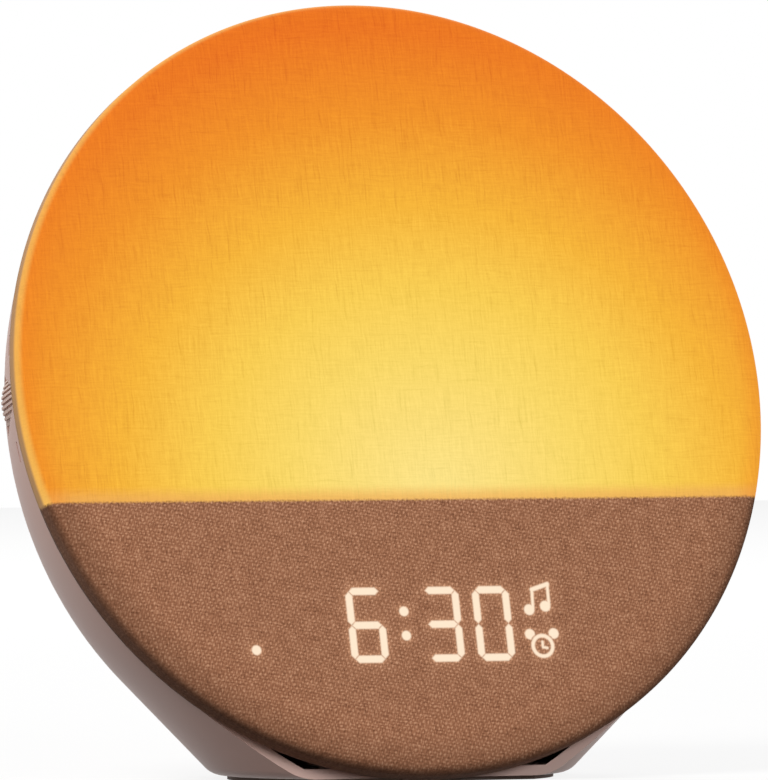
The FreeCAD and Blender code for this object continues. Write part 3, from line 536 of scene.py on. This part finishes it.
def metal(name, colour, roughness=0.3, scratch=(0.2, 3.0, 3.0)):
    """Bare metal, brushed along X."""
    g = Graph(name)
    where = g.millimetres()
    brushed = g.noise(g.vector("MULTIPLY", where, scratch), 2.0, 4.0, 0.65)
    broad = g.noise(where, 0.2, 3.0)
    dark = tuple(c * 0.7 for c in colour)
    light = tuple(min(1.0, c * 1.15) for c in colour)
    tone = g.ramp(brushed * 0.6 + broad * 0.4, [(0.25, dark), (0.75, light)])
    g.bump(brushed, 0.01)
    return g.set(Base_Color=tone, Roughness=roughness + (brushed - 0.5) * 0.25, Metallic=1.0)


BOARD_DARK = (0.012, 0.085, 0.035)
BOARD_GREEN = (0.018, 0.11, 0.048)
BOARD_TRACE = (0.03, 0.19, 0.08)


def board_material():
    """Green solder mask with fine traces and a fibre weave below."""
    g = Graph("circuit_board_mask")
    where = g.millimetres()
    rising = g.math("SINE", g.dot(where, (9.0, 0.0, 9.0)))
    falling = g.math("SINE", g.dot(where, (9.0, 9.0, -9.0)))
    weave = rising * falling
    lanes = g.noise(g.vector("MULTIPLY", where, (0.9, 0.25, 0.9)), 1.2, 2.0)
    trace = g.step(abs(lanes - 0.5), 0.03, 0.015)
    mask = g.ramp(weave * 0.25 + 0.5, [(0.3, BOARD_DARK), (0.7, BOARD_GREEN)])
    tone = g.mix(trace, mask, BOARD_TRACE)
    g.bump(trace + weave * 0.1, 0.03)
    return g.set(Base_Color=tone, Roughness=0.34 + trace * 0.1, Coat_Weight=0.3, Coat_Roughness=0.2)


def soft_material(name, colour, cell_mm, roughness=0.9, bump_mm=0.1):
    """Foam, paper or ferrite: an open pitted surface."""
    g = Graph(name)
    where = g.millimetres()
    cells = g.node("ShaderNodeTexVoronoi")
    g.feed(cells.inputs["Vector"], where)
    cells.inputs["Scale"].default_value = 1.0 / cell_mm
    pits = Value(g, cells.outputs["Distance"])
    fibre = g.noise(where, 0.9, 4.0, 0.6)
    dark = tuple(c * 0.6 for c in colour)
    light = tuple(c * 1.3 for c in colour)
    tone = g.ramp(pits * 0.6 + fibre * 0.5, [(0.2, dark), (0.8, light)])
    g.bump(pits + fibre * 0.5, bump_mm)
    return g.set(Base_Color=tone, Roughness=roughness - (pits * 0.1))


def opal_material(name, colour, glow):
    """Milky plastic that glows a little, clouded and finely frosted."""
    g = Graph(name)
    where = g.millimetres()
    cloud = g.noise(where, 0.15, 4.0, 0.6)
    fine = g.noise(where, 4.0, 2.0)
    tone = g.ramp(cloud, [(0.3, tuple(c * 0.93 for c in colour)), (0.7, colour)])
    g.bump(fine, 0.015)
    return g.set(Base_Color=tone, Roughness=0.42 + (fine - 0.5) * 0.2,
                 Emission_Color=tone, Emission_Strength=glow)


def lead_material():
    """Red wire insulation, a little uneven."""
    g = Graph("lead_insulation")
    where = g.millimetres()
    fine = g.noise(where, 3.0, 3.0)
    side = g.step(g.noise(where, 0.5, 1.0), 0.4, 0.6)
    tone = g.mix(side, (0.42, 0.02, 0.015), (0.5, 0.035, 0.02))
    g.bump(fine, 0.02)
    return g.set(Base_Color=tone, Roughness=0.45 + (fine - 0.5) * 0.2)


HOUSING = srgb(206, 170, 158)
materials = {
    "white_plastic": plastic("white_moulding", (0.82, 0.81, 0.78)),
    "frame_plastic": plastic("frame_moulding", (0.76, 0.73, 0.68)),
    # The trim is paler than the housing as a painted highlight along the line between cloth and
    # housing; its satin gloss and thin coat are its own
    "trim_plastic": plastic("trim_satin_highlight", srgb(214, 188, 172), roughness=0.32, grain_mm=0.5,
                            bump_mm=0.008, vary=0.04, coat=0.25),
    "housing_plastic": plastic("housing_moulding", HOUSING, roughness=0.46, grain_mm=0.30,
                               bump_mm=0.016, vary=0.035, coat=0.08, worn=0.12),
    "black_plastic": plastic("black_moulding", (0.018, 0.018, 0.02), roughness=0.42,
                             grain_mm=0.3, vary=0.12),
    "diffuser": opal_material("opal_sheet", (0.9, 0.87, 0.8), 0.35),
    "lens": opal_material("lit_lens", (1.0, 0.88, 0.72), 0.8),
    "circuit_board": board_material(),
    "led": opal_material("led_phosphor", (0.92, 0.74, 0.26), 0.5),
    "chip": plastic("chip_epoxy", (0.03, 0.03, 0.033), roughness=0.55, grain_mm=0.12, vary=0.2),
    "steel": metal("zinc_steel", (0.66, 0.67, 0.69)),
    "magnet": soft_material("ferrite", (0.05, 0.05, 0.055), cell_mm=0.4, roughness=0.6, bump_mm=0.03),
    "cone_paper": soft_material("cone_paper_pulp", (0.035, 0.034, 0.033), cell_mm=0.7, bump_mm=0.05),
    "foam": soft_material("gasket_foam", (0.03, 0.03, 0.031), cell_mm=0.5, roughness=0.95,
                          bump_mm=0.12),
    "silicone": plastic("foot_silicone", srgb(120, 100, 90), roughness=0.7, grain_mm=0.25,
                        bump_mm=0.03, vary=0.08),
    "dial_plastic": plastic("dial_moulding", srgb(206, 176, 162), roughness=0.4, grain_mm=0.3,
                            bump_mm=0.01, vary=0.05, coat=0.12, worn=0.3),
    "lead": lead_material(),
}


slot_of = {row["node"]: row["material_slot"] for row in frame["record"]["subparts"]}
for name, obj in nodes.items():
    if slot_of[name] in materials:
        obj.data.materials.clear()
        obj.data.materials.append(materials[slot_of[name]])

cover = make_cover()
cover.data.materials.append(cloth_material())
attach(cover, "clock")
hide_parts("fabric_cover")


# Floor, world and lamps
FLOOR_HALF = 2.5
FLOOR_WHITE = 0.86
FLOOR_QUIET = (0.16, 0.15, 0.15, 1.0)
FLOOR_TONES = ((0.90, 0.90, 0.90, 1.0), (0.94, 0.94, 0.94, 1.0))
WORLD_LEVEL = 0.16


def background_rays(tree):
    """1 for camera, glossy and transmission rays, which see the white background; 0 for the rest."""
    path = tree.nodes.new("ShaderNodeLightPath")
    total = path.outputs["Is Camera Ray"]
    for name in ("Is Glossy Ray", "Is Transmission Ray"):
        add = tree.nodes.new("ShaderNodeMath")
        add.operation = "ADD"
        add.use_clamp = True
        tree.links.new(total, add.inputs[0])
        tree.links.new(path.outputs[name], add.inputs[1])
        total = add.outputs[0]
    return total


def floor_material():
    material = bpy.data.materials.new("floor_paper")
    material.use_nodes = True
    tree = material.node_tree
    tree.nodes.clear()
    rays = background_rays(tree)
    coords = tree.nodes.new("ShaderNodeTexCoord")
    grain = tree.nodes.new("ShaderNodeTexNoise")
    grain.inputs["Scale"].default_value = 60.0
    tree.links.new(coords.outputs["Object"], grain.inputs["Vector"])
    tone = tree.nodes.new("ShaderNodeValToRGB")
    for element, colour in zip(tone.color_ramp.elements, FLOOR_TONES):
        element.color = colour
    tree.links.new(grain.outputs["Fac"], tone.inputs["Fac"])
    # Pale for the camera, but quiet for the light that it throws back at the object
    seen = tree.nodes.new("ShaderNodeMix")
    seen.data_type = "RGBA"
    seen.inputs[6].default_value = FLOOR_QUIET
    tree.links.new(rays, seen.inputs["Factor"])
    tree.links.new(tone.outputs["Color"], seen.inputs[7])
    diffuse = tree.nodes.new("ShaderNodeBsdfDiffuse")
    tree.links.new(seen.outputs[2], diffuse.inputs["Color"])
    white = tree.nodes.new("ShaderNodeEmission")
    white.inputs["Strength"].default_value = 1.0
    share = tree.nodes.new("ShaderNodeMath")
    share.operation = "MULTIPLY"
    share.inputs[1].default_value = FLOOR_WHITE
    tree.links.new(rays, share.inputs[0])
    blend = tree.nodes.new("ShaderNodeMixShader")
    tree.links.new(share.outputs[0], blend.inputs["Fac"])
    tree.links.new(diffuse.outputs[0], blend.inputs[1])
    tree.links.new(white.outputs[0], blend.inputs[2])
    surface = tree.nodes.new("ShaderNodeOutputMaterial")
    tree.links.new(blend.outputs[0], surface.inputs["Surface"])
    return material


def make_floor():
    size = FLOOR_HALF
    bm = bmesh.new()
    corners = ((-size, -size), (size, -size), (size, size), (-size, size))
    bm.faces.new([bm.verts.new((x, y, 0.0)) for x, y in corners])
    mesh = bpy.data.meshes.new("floor")
    bm.to_mesh(mesh)
    bm.free()
    floor = bpy.data.objects.new("floor", mesh)
    bpy.context.scene.collection.objects.link(floor)
    floor.data.materials.append(floor_material())


def make_world():
    world = bpy.data.worlds.new("studio")
    bpy.context.scene.world = world
    world.use_nodes = True
    tree = world.node_tree
    back = tree.nodes["Background"]
    back.inputs["Color"].default_value = (1.0, 1.0, 1.0, 1.0)
    level = tree.nodes.new("ShaderNodeMapRange")
    level.inputs["To Min"].default_value = WORLD_LEVEL
    level.inputs["To Max"].default_value = 1.0
    tree.links.new(background_rays(tree), level.inputs["Value"])
    tree.links.new(level.outputs["Result"], back.inputs["Strength"])


def area_lamp(name, place, target, size, power, colour=(1.0, 1.0, 1.0)):
    data = bpy.data.lights.new(name, "AREA")
    data.shape = "RECTANGLE"
    data.size, data.size_y = size
    data.energy = power
    data.color = colour
    lamp = bpy.data.objects.new(name, data)
    bpy.context.scene.collection.objects.link(lamp)
    lamp.location = place
    lamp.rotation_euler = (Vector(target) - Vector(place)).to_track_quat("-Z", "Y").to_euler()


make_floor()
make_world()
centre = (0.0, 0.02, 0.09)
area_lamp("key", (-1.5, -0.9, 1.7), centre, (1.0, 1.0), 44.0, (1.0, 0.97, 0.95))
area_lamp("front", (0.7, -2.2, 1.1), centre, (1.4, 1.0), 18.0)
area_lamp("back", (0.6, 1.8, 1.6), centre, (1.2, 0.8), 30.0)
